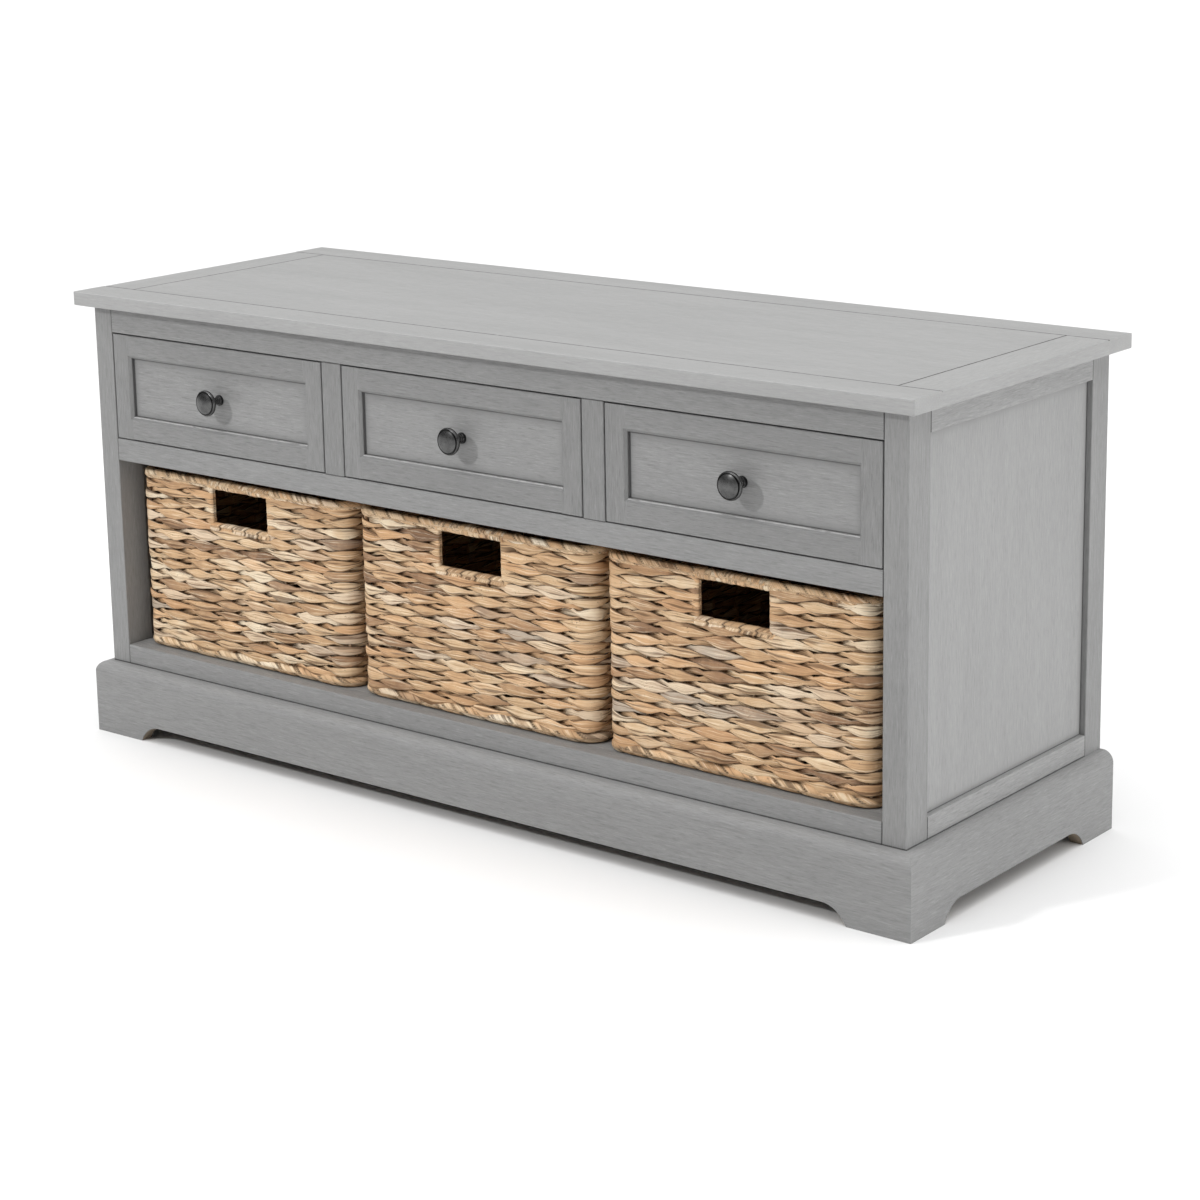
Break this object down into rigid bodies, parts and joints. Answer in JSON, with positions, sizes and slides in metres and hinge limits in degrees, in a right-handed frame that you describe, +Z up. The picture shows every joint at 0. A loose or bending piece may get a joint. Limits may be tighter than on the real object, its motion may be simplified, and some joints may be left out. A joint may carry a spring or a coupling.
{
  "type": "entryway storage bench",
  "caption": "Painted wooden entryway bench with a framed flat top, inset drawers with round knobs, an open bay of woven pull-out baskets and a plinth with bracket feet.",
  "frame": {"origin": "on the floor under the middle of the top", "axes": "+X along the length, to the right of someone facing the bench; +Y from the front to the back; +Z up"},
  "size_m": [1.078, 0.395, 0.5],
  "materials": {
    "painted_wood": "brushed light-grey paint with fine grain",
    "drawer_box_wood": "plain sanded softwood",
    "batten_wood": "plain planed hardwood",
    "knob_metal": "dark pewter, satin",
    "screw_steel": "zinc-plated",
    "woven_fibre": "natural water-hyacinth weave",
    "wire": "brown-coated wire"
  },
  "bodies": {
    "carcass": {"back_bottom_rail": "painted_wood", "back_left_post": "painted_wood", "back_middle_rail": "painted_wood", "back_panel": "painted_wood", "back_right_post": "painted_wood", "back_top_rail": "painted_wood", "base_front_rail": "painted_wood", "cleats": "batten_wood", "drawer_dividers": "painted_wood", "drawer_kickers": "batten_wood", "drawer_runners": "batten_wood", "front_left_post": "painted_wood", "front_right_post": "painted_wood", "left_side_bottom_rail": "painted_wood", "left_side_panel": "painted_wood", "left_side_top_rail": "painted_wood", "lower_front_rail": "painted_wood", "plinth_front": "painted_wood", "plinth_left": "painted_wood", "plinth_right": "painted_wood", "right_side_bottom_rail": "painted_wood", "right_side_panel": "painted_wood", "right_side_top_rail": "painted_wood", "shelf": "painted_wood", "top_back_board": "painted_wood", "top_front_board": "painted_wood", "top_panel": "painted_wood", "top_screws": "screw_steel", "top_side_boards": "painted_wood", "upper_front_rail": "painted_wood"},
    "drawer_left": {"drawer_left_bottom": "drawer_box_wood", "drawer_left_box_ends": "drawer_box_wood", "drawer_left_box_sides": "drawer_box_wood", "drawer_left_knob": "knob_metal", "drawer_left_knob_screw": "screw_steel", "drawer_left_panel": "painted_wood", "drawer_left_rails": "painted_wood", "drawer_left_stiles": "painted_wood"},
    "drawer_middle": {"drawer_middle_bottom": "drawer_box_wood", "drawer_middle_box_ends": "drawer_box_wood", "drawer_middle_box_sides": "drawer_box_wood", "drawer_middle_knob": "knob_metal", "drawer_middle_knob_screw": "screw_steel", "drawer_middle_panel": "painted_wood", "drawer_middle_rails": "painted_wood", "drawer_middle_stiles": "painted_wood"},
    "drawer_right": {"drawer_right_bottom": "drawer_box_wood", "drawer_right_box_ends": "drawer_box_wood", "drawer_right_box_sides": "drawer_box_wood", "drawer_right_knob": "knob_metal", "drawer_right_knob_screw": "screw_steel", "drawer_right_panel": "painted_wood", "drawer_right_rails": "painted_wood", "drawer_right_stiles": "painted_wood"},
    "basket_left": {"basket_left_weave": "woven_fibre", "basket_left_wire_frame": "wire"},
    "basket_middle": {"basket_middle_weave": "woven_fibre", "basket_middle_wire_frame": "wire"},
    "basket_right": {"basket_right_weave": "woven_fibre", "basket_right_wire_frame": "wire"}
  },
  "joints": [
    {"name": "drawer_left_slide", "type": "slide", "parent": "carcass", "child": "drawer_left", "axis": [0, -1, 0], "range_m": [0, 0.24]},
    {"name": "drawer_middle_slide", "type": "slide", "parent": "carcass", "child": "drawer_middle", "axis": [0, -1, 0], "range_m": [0, 0.24]},
    {"name": "drawer_right_slide", "type": "slide", "parent": "carcass", "child": "drawer_right", "axis": [0, -1, 0], "range_m": [0, 0.24]},
    {"name": "basket_left_slide", "type": "slide", "parent": "carcass", "child": "basket_left", "axis": [0, -1, 0], "range_m": [0, 0.34]},
    {"name": "basket_middle_slide", "type": "slide", "parent": "carcass", "child": "basket_middle", "axis": [0, -1, 0], "range_m": [0, 0.34]},
    {"name": "basket_right_slide", "type": "slide", "parent": "carcass", "child": "basket_right", "axis": [0, -1, 0], "range_m": [0, 0.34]}
  ]
}
